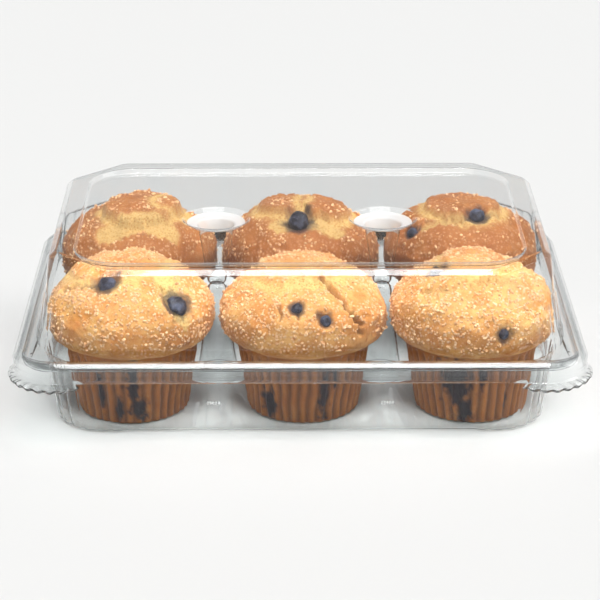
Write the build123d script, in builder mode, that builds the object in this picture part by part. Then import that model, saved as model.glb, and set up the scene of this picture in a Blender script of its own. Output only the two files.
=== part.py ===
"""Clear hinged-lid bakery tray with six jumbo blueberry muffins.

Millimetres, +Z up.  +X runs along the long side, -Y is the front with the two
finger tabs, +Y is the hinge side.  The origin is the middle of the tray's
underside.  The lid is modelled closed.
"""

from math import cos, radians, sin
import os

from build123d import *

# ---- sheet and running clearances -------------------------------------------
sheet = 0.4                 # thermoformed sheet thickness
play = 0.3                  # gap between the nested lid and tray
seat_gap = 0.3              # gap under a muffin and round a berry

# ---- overall sizes ----------------------------------------------------------
rim_width = 330.0           # outside of the lid's lip, left to right
rim_depth = 232.0           # outside of the lid's lip, front to back
rim_radius = 25.0           # plan corner of the rim
closed_rim_top = 52.0       # top of the closed rim above the table
dome_rise = 50.0            # lid panel edge above the rim

# ---- tray body --------------------------------------------------------------
floor_width = 281.0
floor_depth = 182.0
mouth_width = 291.0         # outside of the walls just under the ledge
mouth_depth = 192.0
body_radius = 28.0          # plan corner of the walls
flute_count = 5             # scallops round each corner
flute_swell = 1.4           # how far each scallop stands out of the corner arc

# ---- rim sections, as widths and heights ------------------------------------
lip_width = 1.0             # lid lip beyond its skirt
bead_width = 5.3            # hollow bead of the tray that the lid snaps over
channel_depth = 6.0         # lid channel inside the bead, below the rim top
skirt_height = 11.6         # lid skirt, rim top to the underside of its lip
tray_skirt_drop = 0.8       # tray skirt and tab below the lid's lip
skirt_rear_stop = 88.0      # the lid skirt ends here, clear of the hinge corners

# ---- lid dome ---------------------------------------------------------------
dome_foot_inset = 12.4      # rim edge to dome wall, at the channel
dome_top_width = 288.0
dome_top_depth = 197.0
dome_top_cut = 32.0         # leg of the 45 degree corners, top
dome_foot_cut = 25.0        # the same, at the channel
dome_edge_round = 7.0       # plan rounding of the eight wall edges
shoulder_drop = 2.5         # height of the bevel round the top edge
shoulder_inset = 2.5        # width of the bevel round the top edge
panel_inset = 14.0          # recessed panel, in from the top edge
panel_depth = 3.0
panel_radius = 28.0

# ---- posts and funnels between the muffins ----------------------------------
post_pitch = 100.0          # distance between the two posts
post_foot_radius = 13.0
post_top_radius = 5.0
post_step = 1.2             # width of each ring step
post_rings = 3
post_height = 57.0
dish_radius = 20.0
dish_depth = 4.0
funnel_mouth_radius = 11.0
funnel_tip_radius = 5.0

# ---- hinge ------------------------------------------------------------------
hinge_length = 280.0
hinge_reach = 1.5           # hinge line behind the rim
hinge_bead_radius = 0.6
flap_overlap = 6.0          # width of the rear flaps that carry the hinge
flap_gap = 0.9              # flap edge to the hinge line

# ---- finger tabs at the two front corners -----------------------------------
tab_radius = 28.0
tab_side_inset = 26.0       # tab centre, in from the side edge of the rim
tab_front_inset = 20.5      # tab centre, in from the front edge of the rim
lower_tab_inset = 1.0       # the tray's tab is this much smaller

# ---- where each formed sheet is cut into its three regions ------------------
floor_split = 1.0           # the tray floor region reaches this high
top_split = 1.0             # the lid top region reaches this far below the panel

# ---- muffins ----------------------------------------------------------------
base_foot_radius = 33.0
base_top_radius = 39.5
base_height = 45.0          # where the crown starts to overhang
crown_height = 57.0         # height of the crown's widest ring
# name: (x, y, crown radius, headroom under the lid panel, berries)
# each berry: (direction in degrees, rise in degrees over the crown, diameter)
muffins = {
    "front_left": (-98.8, -50.0, 49.2, 7.6, [(-120.0, 58.0, 11.0), (-45.0, 31.0, 13.0)]),
    "front_middle": (2.0, -50.0, 49.2, 9.6, [(-96.0, 36.0, 7.0), (-74.0, 23.0, 7.0)]),
    "front_right": (101.0, -50.0, 48.4, 7.6, [(-72.0, 8.0, 7.0), (-162.0, 60.0, 9.0)]),
    "back_left": (-99.5, 50.0, 48.8, 4.6, [(78.0, 40.0, 11.0), (120.0, 25.0, 10.0)]),
    "back_middle": (1.0, 50.0, 49.0, 4.6, [(-93.0, 61.0, 13.0), (80.0, 35.0, 10.0)]),
    "back_right": (101.0, 50.0, 48.4, 5.6, [(-63.0, 66.0, 10.0), (-148.0, 37.0, 7.0)]),
}
berry_sink = 0.3            # berry centre under the crown's skin, in diameters

# ---- derived sizes ----------------------------------------------------------
lid_skirt_inset = lip_width
tray_skirt_inset = lid_skirt_inset + sheet + play
tray_bead_inset = tray_skirt_inset + bead_width
lid_bead_inset = tray_bead_inset + sheet + play + sheet
lip_underside = closed_rim_top - skirt_height
tray_skirt_bottom = lip_underside - tray_skirt_drop
lid_channel_underside = closed_rim_top - channel_depth - sheet
tray_ledge_top = lid_channel_underside - play
tray_bead_top = closed_rim_top - sheet - play
lid_top = closed_rim_top + dome_rise
panel_level = lid_top - panel_depth
dome_foot_width = rim_width - 2 * dome_foot_inset
dome_foot_depth = rim_depth - 2 * dome_foot_inset
funnel_tip_level = post_height + play + sheet
hinge_y = rim_depth / 2 + hinge_reach
hinge_z = closed_rim_top - sheet - play / 2
flap_edge = hinge_y - flap_gap
muffin_floor = sheet + seat_gap
tab_centre_x = rim_width / 2 - tab_side_inset
tab_centre_y = rim_depth / 2 - tab_front_inset
tray_rim_split = tray_bead_inset + 6
lid_rim_split = (lid_bead_inset + dome_foot_inset) / 2


post_places = ((-post_pitch / 2, 0, 0), (post_pitch / 2, 0, 0))


def rim_outline(inset):
    """Rounded rectangle that follows the rim, moved in by inset."""
    with BuildSketch() as outline:
        RectangleRounded(
            rim_width - 2 * inset,
            rim_depth - 2 * inset,
            max(rim_radius - inset, 1.0),
        )
    return outline.sketch


def fluted_outline(width, depth, radius):
    """Rectangle whose four corners are rows of small outward scallops."""
    with BuildSketch() as outline:
        with BuildLine():
            ends = []
            for corner, (sign_x, sign_y) in enumerate(((1, 1), (-1, 1), (-1, -1), (1, -1))):
                centre = Vector(sign_x * (width / 2 - radius), sign_y * (depth / 2 - radius))
                points = []
                for half_step in range(2 * flute_count + 1):
                    angle = radians(90 * corner + 90 * half_step / (2 * flute_count))
                    reach = radius + flute_swell * (half_step % 2)
                    points.append(centre + Vector(cos(angle), sin(angle)) * reach)
                for first in range(0, 2 * flute_count, 2):
                    ThreePointArc(points[first], points[first + 1], points[first + 2])
                ends.append((points[0], points[-1]))
            for corner in range(4):
                Line(ends[corner][1], ends[(corner + 1) % 4][0])
        make_face()
    return outline.sketch


def cut_corner_outline(width, depth, cut, edge_round):
    """Rectangle with 45 degree corners and softened edges."""
    with BuildSketch() as outline:
        with BuildLine():
            Polyline(
                (width / 2, -depth / 2 + cut),
                (width / 2, depth / 2 - cut),
                (width / 2 - cut, depth / 2),
                (-width / 2 + cut, depth / 2),
                (-width / 2, depth / 2 - cut),
                (-width / 2, -depth / 2 + cut),
                (-width / 2 + cut, -depth / 2),
                (width / 2 - cut, -depth / 2),
                close=True,
            )
        make_face()
        fillet(outline.vertices(), radius=edge_round)
    return outline.sketch


def rim_ring(outer_inset, inner_inset, bottom, top, keep_rear=True):
    """Upright band that follows the rim between two insets."""
    with BuildPart() as ring:
        with BuildSketch(Plane.XY.offset(bottom)):
            add(rim_outline(outer_inset))
            add(rim_outline(inner_inset), mode=Mode.SUBTRACT)
            if not keep_rear:
                with Locations((0, skirt_rear_stop)):
                    Rectangle(
                        2 * rim_width,
                        rim_depth,
                        align=(Align.CENTER, Align.MIN),
                        mode=Mode.SUBTRACT,
                    )
        extrude(amount=top - bottom)
    return ring.part


def rim_column(inset):
    """Tall block inside the rim, at an inset from its edge."""
    with BuildPart() as column:
        with BuildSketch(Plane.XY.offset(-lid_top)):
            add(rim_outline(inset))
        extrude(amount=3 * lid_top)
    return column.part


def post_columns(radius, bottom, top):
    """Two upright cylinders round the posts."""
    with BuildPart() as columns:
        with BuildSketch(Plane.XY.offset(bottom)):
            with Locations(*post_places):
                Circle(radius)
        extrude(amount=top - bottom)
    return columns.part


def level_slab(bottom, top):
    """Wide flat block between two levels."""
    with BuildPart() as slab:
        with BuildSketch(Plane.XY.offset(bottom)):
            Rectangle(2 * rim_width, 2 * rim_depth)
        extrude(amount=top - bottom)
    return slab.part


def cut_sheet(formed, names, column, zones):
    """Cuts a formed sheet into its rim, its walls, and the flat part with the posts or funnels."""
    rim_name, wall_name, flat_name = names
    with BuildPart() as flat_zone:
        for block in zones:
            add(block)
    with BuildPart() as rim:
        add(formed)
        add(column, mode=Mode.SUBTRACT)
    with BuildPart() as flat:
        add(formed)
        add(column, mode=Mode.INTERSECT)
        add(flat_zone.part, mode=Mode.INTERSECT)
    with BuildPart() as walls:
        add(formed)
        add(column, mode=Mode.INTERSECT)
        add(flat_zone.part, mode=Mode.SUBTRACT)
    rim.part.label = rim_name
    walls.part.label = wall_name
    flat.part.label = flat_name
    return rim.part, walls.part, flat.part


def rear_flap(bottom):
    """Flat strip from the bead to just in front of the hinge line."""
    with BuildPart() as flap:
        with BuildSketch(Plane.XY.offset(bottom)):
            with Locations((0, flap_edge)):
                Rectangle(hinge_length, flap_overlap, align=(Align.CENTER, Align.MAX))
        extrude(amount=sheet)
    return flap.part


def corner_tabs(inset, skirt_inset, bottom):
    """Two fan-shaped finger tabs outside the skirt at the front corners."""
    with BuildPart() as tabs:
        with BuildSketch(Plane.XY.offset(bottom)):
            with Locations((-tab_centre_x, -tab_centre_y), (tab_centre_x, -tab_centre_y)):
                Circle(tab_radius - inset)
            add(rim_outline(skirt_inset + sheet), mode=Mode.SUBTRACT)
        extrude(amount=sheet)
    return tabs.part


# ---- post that rises from the tray floor ------------------------------------
def post_profile(skin):
    """Half section of a stepped post: skin 0 is the outside, sheet is the hollow."""
    ring_drop = post_height / (post_rings + 1)
    shrink = (post_foot_radius - post_top_radius - post_rings * post_step) / (post_rings + 1)
    points = [(0, 0), (post_foot_radius - skin, 0)]
    radius = post_foot_radius
    for ring in range(1, post_rings + 2):
        radius -= shrink
        points.append((radius - skin, ring * ring_drop - skin))
        if ring <= post_rings:
            radius -= post_step
            points.append((radius - skin, ring * ring_drop - skin))
    points.append((0, post_height - skin))
    return points


def post_solid(skin):
    with BuildPart() as post:
        with BuildSketch(Plane.XZ):
            with BuildLine():
                Polyline(*post_profile(skin), close=True)
            make_face()
        revolve(axis=Axis.Z)
    return post.part


# ---- funnel that drops from the lid panel to the post -----------------------
def funnel_solid(skin):
    """Open space of the funnel, or that space plus its wall when skin is sheet."""
    tip = funnel_tip_level - skin
    with BuildPart() as funnel:
        with BuildSketch(Plane.XZ):
            with BuildLine():
                Polyline(
                    (0, tip),
                    (funnel_tip_radius + skin, tip),
                    (funnel_mouth_radius + skin, panel_level - dish_depth - skin),
                    (dish_radius - dish_depth + skin, panel_level - dish_depth - skin),
                    (dish_radius + skin, panel_level - skin),
                    (dish_radius + skin, lid_top),
                    (0, lid_top),
                    close=True,
                )
            make_face()
        revolve(axis=Axis.Z)
    return funnel.part


# ---- tray -------------------------------------------------------------------
def tray_space(skin, bottom):
    """Drafted body with fluted corners: skin 0 is the outside, sheet the inside."""
    with BuildPart() as body:
        with BuildSketch(Plane.XY.offset(bottom)):
            add(fluted_outline(floor_width - 2 * skin, floor_depth - 2 * skin, body_radius - skin))
        with BuildSketch(Plane.XY.offset(tray_ledge_top)):
            add(fluted_outline(mouth_width - 2 * skin, mouth_depth - 2 * skin, body_radius - skin))
        loft(ruled=True)
    return body.part


tray_outside = tray_space(0, 0)
tray_inside = tray_space(sheet, sheet)
post_outside = post_solid(0)
post_hollow = post_solid(sheet)

with BuildPart() as tray_sheet:
    add(tray_outside)
    add(tray_inside, mode=Mode.SUBTRACT)
    with Locations(*post_places):
        add(post_outside)
    with Locations(*post_places):
        add(post_hollow, mode=Mode.SUBTRACT)
    with BuildSketch(Plane.XY.offset(tray_ledge_top - sheet)):
        add(rim_outline(tray_bead_inset - sheet))
        add(
            fluted_outline(mouth_width - 2 * sheet, mouth_depth - 2 * sheet, body_radius - sheet),
            mode=Mode.SUBTRACT,
        )
    extrude(amount=sheet)
    add(rim_ring(tray_bead_inset - sheet, tray_bead_inset, tray_ledge_top - sheet, tray_bead_top))
    add(rim_ring(tray_skirt_inset, tray_bead_inset, tray_bead_top - sheet, tray_bead_top))
    add(rim_ring(tray_skirt_inset, tray_skirt_inset + sheet, tray_skirt_bottom, tray_bead_top))
    add(rear_flap(tray_bead_top - sheet))
    add(corner_tabs(lower_tab_inset, tray_skirt_inset, tray_skirt_bottom))
tray_pieces = cut_sheet(
    tray_sheet.part,
    ("tray_rim", "tray_walls", "tray_floor"),
    rim_column(tray_rim_split),
    (level_slab(0, floor_split), post_columns(post_foot_radius + sheet, 0, post_height)),
)



# ---- lid --------------------------------------------------------------------
def dome_space(skin):
    """Cut-corner dome with a bevelled top: skin 0 is the outside, sheet the inside."""
    foot = lid_channel_underside
    shoulder = lid_top - shoulder_drop
    share = (shoulder - foot) / (lid_top - foot)
    middle_width = dome_foot_width + (dome_top_width - dome_foot_width) * share
    middle_depth = dome_foot_depth + (dome_top_depth - dome_foot_depth) * share
    middle_cut = dome_foot_cut + (dome_top_cut - dome_foot_cut) * share
    levels = (
        (foot, dome_foot_width, dome_foot_depth, dome_foot_cut),
        (shoulder - skin / 2, middle_width, middle_depth, middle_cut),
        (
            lid_top - skin,
            dome_top_width - 2 * shoulder_inset,
            dome_top_depth - 2 * shoulder_inset,
            dome_top_cut,
        ),
    )
    with BuildPart() as dome:
        for level, width, depth, cut in levels:
            with BuildSketch(Plane.XY.offset(level)):
                add(
                    cut_corner_outline(
                        width - 2 * skin,
                        depth - 2 * skin,
                        cut - skin * (2 - 2**0.5),
                        dome_edge_round - skin,
                    )
                )
        loft(ruled=True)
        with BuildSketch(Plane.XY.offset(panel_level - skin)):
            RectangleRounded(
                dome_top_width - 2 * panel_inset + 2 * skin,
                dome_top_depth - 2 * panel_inset + 2 * skin,
                panel_radius + skin,
            )
        extrude(amount=lid_top - panel_level + skin, mode=Mode.SUBTRACT)
        with Locations(*post_places):
            add(funnel_solid(skin), mode=Mode.SUBTRACT)
    return dome.part


dome_outside = dome_space(0)
dome_inside = dome_space(sheet)

with BuildPart() as lid_sheet:
    add(dome_outside)
    add(dome_inside, mode=Mode.SUBTRACT)
    with BuildSketch(Plane.XY.offset(lid_channel_underside)):
        add(rim_outline(lid_bead_inset - sheet))
        add(
            cut_corner_outline(
                dome_foot_width - 2 * sheet,
                dome_foot_depth - 2 * sheet,
                dome_foot_cut - sheet * (2 - 2**0.5),
                dome_edge_round - sheet,
            ),
            mode=Mode.SUBTRACT,
        )
    extrude(amount=sheet)
    add(rim_ring(lid_bead_inset - sheet, lid_bead_inset, lid_channel_underside, closed_rim_top))
    add(rim_ring(lid_skirt_inset, lid_bead_inset, closed_rim_top - sheet, closed_rim_top))
    add(
        rim_ring(
            lid_skirt_inset,
            lid_skirt_inset + sheet,
            lip_underside,
            closed_rim_top,
            keep_rear=False,
        )
    )
    add(
        rim_ring(0, lid_skirt_inset + sheet, lip_underside, lip_underside + sheet, keep_rear=False)
    )
    add(rear_flap(closed_rim_top - sheet))
    add(corner_tabs(0, lid_skirt_inset, lip_underside))
lid_pieces = cut_sheet(
    lid_sheet.part,
    ("lid_rim", "lid_dome", "lid_top"),
    rim_column(lid_rim_split),
    (
        level_slab(panel_level - top_split, lid_top),
        post_columns(dish_radius + 2 * sheet, funnel_tip_level - 2 * sheet, lid_top),
    ),
)



# ---- hinge: the flexing bead between the two rear flaps ---------------------
with BuildPart() as hinge:
    with BuildSketch(Plane.YZ.offset(-hinge_length / 2)):
        with Locations((hinge_y, hinge_z)):
            Circle(hinge_bead_radius)
    extrude(amount=hinge_length)
hinge.part.label = "hinge"


# ---- muffins and their berries ----------------------------------------------
def muffin_solid(crown_radius, height):
    """Drafted base under an overhanging crown, turned round its own axis."""
    with BuildPart() as muffin:
        with BuildSketch(Plane.XZ):
            with BuildLine():
                Polyline(
                    (0, height),
                    (0, muffin_floor),
                    (base_foot_radius, muffin_floor),
                    (base_top_radius, base_height),
                )
                EllipticalCenterArc(
                    (base_top_radius, crown_height),
                    crown_radius - base_top_radius,
                    crown_height - base_height,
                    start_angle=-90,
                    arc_size=90,
                )
                EllipticalCenterArc(
                    (0, crown_height),
                    crown_radius,
                    height - crown_height,
                    start_angle=0,
                    arc_size=90,
                )
            make_face()
        revolve(axis=Axis.Z)
    return muffin.part


def berry_centre(crown_radius, height, direction, rise, diameter):
    """Point just under the crown's skin at a compass direction and rise."""
    sink = berry_sink * diameter
    out = (crown_radius - sink) * cos(radians(rise))
    return (
        out * cos(radians(direction)),
        out * sin(radians(direction)),
        crown_height + (height - crown_height - sink) * sin(radians(rise)),
    )


def berry_balls(crown_radius, height, berries, grow):
    """All berries of one muffin, grown by grow for their pockets."""
    with BuildPart() as balls:
        for direction, rise, diameter in berries:
            with Locations(berry_centre(crown_radius, height, direction, rise, diameter)):
                Sphere(diameter / 2 + grow)
    return balls.part


def bake(name, place_x, place_y, crown_radius, headroom, berries):
    """One muffin with pockets, and the berries that sit in them."""
    height = panel_level - sheet - headroom
    pockets = berry_balls(crown_radius, height, berries, seat_gap)
    fruit = berry_balls(crown_radius, height, berries, 0)
    body = muffin_solid(crown_radius, height)
    with BuildPart() as muffin:
        with Locations((place_x, place_y, 0)):
            add(body)
        with Locations((place_x, place_y, 0)):
            add(pockets, mode=Mode.SUBTRACT)
    with BuildPart() as blueberries:
        with Locations((place_x, place_y, 0)):
            add(fruit)
    muffin.part.label = f"muffin_{name}"
    blueberries.part.label = f"blueberries_{name}"
    return muffin.part, blueberries.part


# ---- output -----------------------------------------------------------------
os.makedirs("parts", exist_ok=True)
for piece in (*tray_pieces, *lid_pieces, hinge.part):
    export_step(piece, f"parts/{piece.label}.step")
for muffin_name, spec in muffins.items():
    muffin_part, berry_part = bake(muffin_name, *spec)
    export_step(muffin_part, f"parts/{muffin_part.label}.step")
    export_step(berry_part, f"parts/{berry_part.label}.step")
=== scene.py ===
"""Looks of a clear hinged-lid container that holds six jumbo blueberry muffins.

Sizes are millimetres until a mesh is finished, and metres from then on.
"""

import math
import random

import bmesh
import bpy
from mathutils import Matrix, Vector, noise
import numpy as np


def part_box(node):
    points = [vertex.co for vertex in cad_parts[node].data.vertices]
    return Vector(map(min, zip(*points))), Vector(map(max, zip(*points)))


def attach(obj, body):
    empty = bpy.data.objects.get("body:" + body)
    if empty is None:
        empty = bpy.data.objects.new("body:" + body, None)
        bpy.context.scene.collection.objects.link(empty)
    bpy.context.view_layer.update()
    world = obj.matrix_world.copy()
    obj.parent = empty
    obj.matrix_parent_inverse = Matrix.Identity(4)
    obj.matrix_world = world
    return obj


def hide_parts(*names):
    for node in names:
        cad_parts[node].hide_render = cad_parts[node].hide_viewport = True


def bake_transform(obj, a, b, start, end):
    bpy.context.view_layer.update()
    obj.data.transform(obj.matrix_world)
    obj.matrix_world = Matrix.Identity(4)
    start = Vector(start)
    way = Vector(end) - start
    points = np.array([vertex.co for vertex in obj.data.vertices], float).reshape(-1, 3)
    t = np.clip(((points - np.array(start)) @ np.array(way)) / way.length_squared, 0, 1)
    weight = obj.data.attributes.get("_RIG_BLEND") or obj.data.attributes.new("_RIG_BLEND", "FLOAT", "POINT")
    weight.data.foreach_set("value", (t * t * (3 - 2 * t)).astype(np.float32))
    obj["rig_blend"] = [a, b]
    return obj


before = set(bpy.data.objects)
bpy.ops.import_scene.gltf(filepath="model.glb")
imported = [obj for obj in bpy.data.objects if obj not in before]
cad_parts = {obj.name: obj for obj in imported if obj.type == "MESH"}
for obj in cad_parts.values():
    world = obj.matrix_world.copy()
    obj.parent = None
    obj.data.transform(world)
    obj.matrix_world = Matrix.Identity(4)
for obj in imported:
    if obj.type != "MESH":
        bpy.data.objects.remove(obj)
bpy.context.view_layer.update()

MM = 0.001
TAU = 2 * math.pi


# ---- sizes read from the frame ----------------------------------------------
def node_box(name):
    """Lowest and highest corners of a CAD node, in millimetres."""
    low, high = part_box(name)
    return [value / MM for value in low], [value / MM for value in high]


LID_NODES = ("lid_rim", "lid_dome", "lid_top")
TRAY_NODES = ("tray_floor", "tray_walls", "tray_rim")
hinge_low, hinge_high = node_box("hinge")

LID_TOP = node_box("lid_top")[1][2]
HINGE_Y = (hinge_low[1] + hinge_high[1]) / 2
HINGE_Z = (hinge_low[2] + hinge_high[2]) / 2
HINGE_LENGTH = hinge_high[0] - hinge_low[0]

# ---- the container's own sizes ----------------------------------------------
SHEET = 0.4                  # wall of the formed sheet
RIM_HALF_WIDTH = 165.0
RIM_HALF_DEPTH = 116.0
RIM_RADIUS = 25.0
RIM_TOP = 52.0
LIP_LEVEL = 40.8
TABLE_CLEARANCE = 0.4        # upper face of the tray floor above the table

FLOOR_HALF_WIDTH = 140.5
FLOOR_HALF_DEPTH = 91.0
MOUTH_HALF_WIDTH = 145.5
MOUTH_HALF_DEPTH = 96.0
LEDGE_LEVEL = 45.2
SKIRT_LEVEL = 39.9
BODY_RADIUS = 28.0
TRAY_FLUTES = 8
TRAY_FLUTE_SWELL = 1.8

DOME_FOOT_INSET = 12.6
DOME_TOP_HALF_WIDTH = 144.0
DOME_TOP_HALF_DEPTH = 98.5
DOME_CUT = 32.0
DOME_CUT_EASE = 0.586        # shorter cut per inset, so that the cut corner insets evenly
DOME_EDGE_ROUND = 7.0
DOME_STEP_LEVEL = 77.0       # fluted lower corners end here
DOME_CREASE_LEVEL = 55.5
DOME_CORNER_RADIUS = 42.0
DOME_FLUTES = 8
DOME_FLUTE_SWELL = 1.6
BEVEL = 3.2                  # flat bevel round the dome's top edge
PANEL_INSET = 14.0
PANEL_DEPTH = 3.0
PANEL_RADIUS = 28.0

POST_X = 50.0
DISH_RADIUS = 20.0
POST_TOP = 57.0

TAB_X = 139.0
TAB_Y = 95.5
TAB_RADIUS = 27.5
TAB_FLUTES = 24              # flutes in a full turn round the tab
TAB_FLUTE_HEIGHT = 0.6

LUG_LEVEL = 19.0
LUG_RIBS = 5
LUG_PITCH = 1.6
LUG_RADII = (0.7, 0.6, 1.1)
LUG_STAND_OUT = 0.2          # middle of a rib, out from the wall

REFLECTION_INNER = 4.0            # the drawn dishes are whitened between these radii, a painted reflection of the overhead light
REFLECTION_OUTER = 17.4
REFLECTION_LEVEL = 94.0           # and above this level,
REFLECTION_BACK_LEVEL = 84.0      # or this one on the far side of the funnel's mouth

# ---- vertices round one ring ------------------------------------------------
LEAD_STEPS = 8               # straight part of a corner zone, each side
TURN_STEPS = 34              # curved part of a corner zone
LEAD = 13.0                  # length of that straight part
LONG_STEPS = 18
SHORT_STEPS = 10
CORNER_SIGNS = ((1, 1), (-1, 1), (-1, -1), (1, -1))


def ease(value):
    """Smooth step from 0 to 1."""
    value = min(max(value, 0.0), 1.0)
    return value * value * (3 - 2 * value)


# ---- colours and node trees -------------------------------------------------
def hex_colour(code):
    """Linear colour of an sRGB hex value."""
    values = [int(code[i:i + 2], 16) / 255 for i in (0, 2, 4)]
    linear = [v / 12.92 if v <= 0.04045 else ((v + 0.055) / 1.055) ** 2.4 for v in values]
    return (*linear, 1.0)


def feed(tree, socket, value):
    """Sets an input socket to a value, or links another socket to it."""
    if isinstance(value, bpy.types.NodeSocket):
        tree.links.new(value, socket)
    else:
        socket.default_value = value


def add_node(tree, kind, inputs=None, **settings):
    """Adds a node with its settings. Inputs are values, or sockets to link."""
    item = tree.nodes.new(kind)
    for name, value in settings.items():
        setattr(item, name, value)
    for name, value in (inputs or {}).items():
        feed(tree, item.inputs[name], value)
    return item


def blank_material(name):
    """A material with only an output, and its tree."""
    material = bpy.data.materials.new(name)
    material.use_nodes = True
    tree = material.node_tree
    tree.nodes.clear()
    output = tree.nodes.new("ShaderNodeOutputMaterial")
    return material, tree, output


def blend_colours(tree, factor, low, high):
    """Colour socket that goes from low to high by factor."""
    mix = tree.nodes.new("ShaderNodeMix")
    mix.data_type = "RGBA"
    for socket, value in ((mix.inputs[0], factor), (mix.inputs[6], low), (mix.inputs[7], high)):
        feed(tree, socket, value)
    return mix.outputs[2]


def ramp(tree, source, low, high):
    """Value socket that rises from 0 to 1 as source goes from low to high."""
    step = add_node(
        tree,
        "ShaderNodeMapRange",
        {"Value": source, "From Min": low, "From Max": high},
        interpolation_type="SMOOTHSTEP",
    )
    return step.outputs["Result"]


def maths(tree, operation, first, second=0.0):
    """Value socket of one Math node."""
    item = tree.nodes.new("ShaderNodeMath")
    item.operation = operation
    for socket, value in zip(item.inputs, (first, second)):
        feed(tree, socket, value)
    return item.outputs[0]


# ---- materials --------------------------------------------------------------
def clear_pet():
    """Thermoformed PET sheet: clear, glossy, with faint draw lines from the mould."""
    material, tree, output = blank_material("clear thermoformed PET")
    place = add_node(tree, "ShaderNodeTexCoord")
    ripple = add_node(
        tree,
        "ShaderNodeTexNoise",
        {"Vector": place.outputs["Object"], "Scale": 1 / (22 * MM), "Detail": 2.0},
    )
    bump = add_node(
        tree,
        "ShaderNodeBump",
        {"Height": ripple.outputs["Fac"], "Strength": 0.05, "Distance": 0.5 * MM},
    )
    rough = add_node(
        tree,
        "ShaderNodeMapRange",
        {"Value": ripple.outputs["Fac"], "To Min": 0.015, "To Max": 0.05},
    )
    sheet = add_node(
        tree,
        "ShaderNodeBsdfPrincipled",
        {
            "Base Color": hex_colour("FBFCFC"),
            "Roughness": rough.outputs["Result"],
            "IOR": 1.3,
            "Transmission Weight": 1.0,
            "Normal": bump.outputs["Normal"],
        },
    )
    lamp_light = add_node(tree, "ShaderNodeBsdfTransparent", {"Color": hex_colour("E9EBEB")})
    path = add_node(tree, "ShaderNodeLightPath")
    both = tree.nodes.new("ShaderNodeMixShader")
    tree.links.new(path.outputs["Is Shadow Ray"], both.inputs[0])
    tree.links.new(sheet.outputs[0], both.inputs[1])
    tree.links.new(lamp_light.outputs[0], both.inputs[2])
    tree.links.new(both.outputs[0], output.inputs["Surface"])
    return material


def reflection_white_pet():
    """The same sheet turned a soft white in the drawn dishes: a painted reflection of the overhead light."""
    material, tree, output = blank_material("clouded PET of the drawn dishes")
    place = add_node(tree, "ShaderNodeTexCoord")
    sheen_noise = add_node(
        tree,
        "ShaderNodeTexNoise",
        {"Vector": place.outputs["Object"], "Scale": 1 / (9 * MM), "Detail": 2.0},
    )
    rough = add_node(
        tree,
        "ShaderNodeMapRange",
        {"Value": sheen_noise.outputs["Fac"], "To Min": 0.12, "To Max": 0.3},
    )
    sheet = add_node(
        tree,
        "ShaderNodeBsdfPrincipled",
        {
            "Base Color": hex_colour("FBFBFA"),
            "Roughness": rough.outputs["Result"],
            "IOR": 1.3,
            "Transmission Weight": 0.4,
        },
    )
    tree.links.new(sheet.outputs[0], output.inputs["Surface"])
    return material


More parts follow.
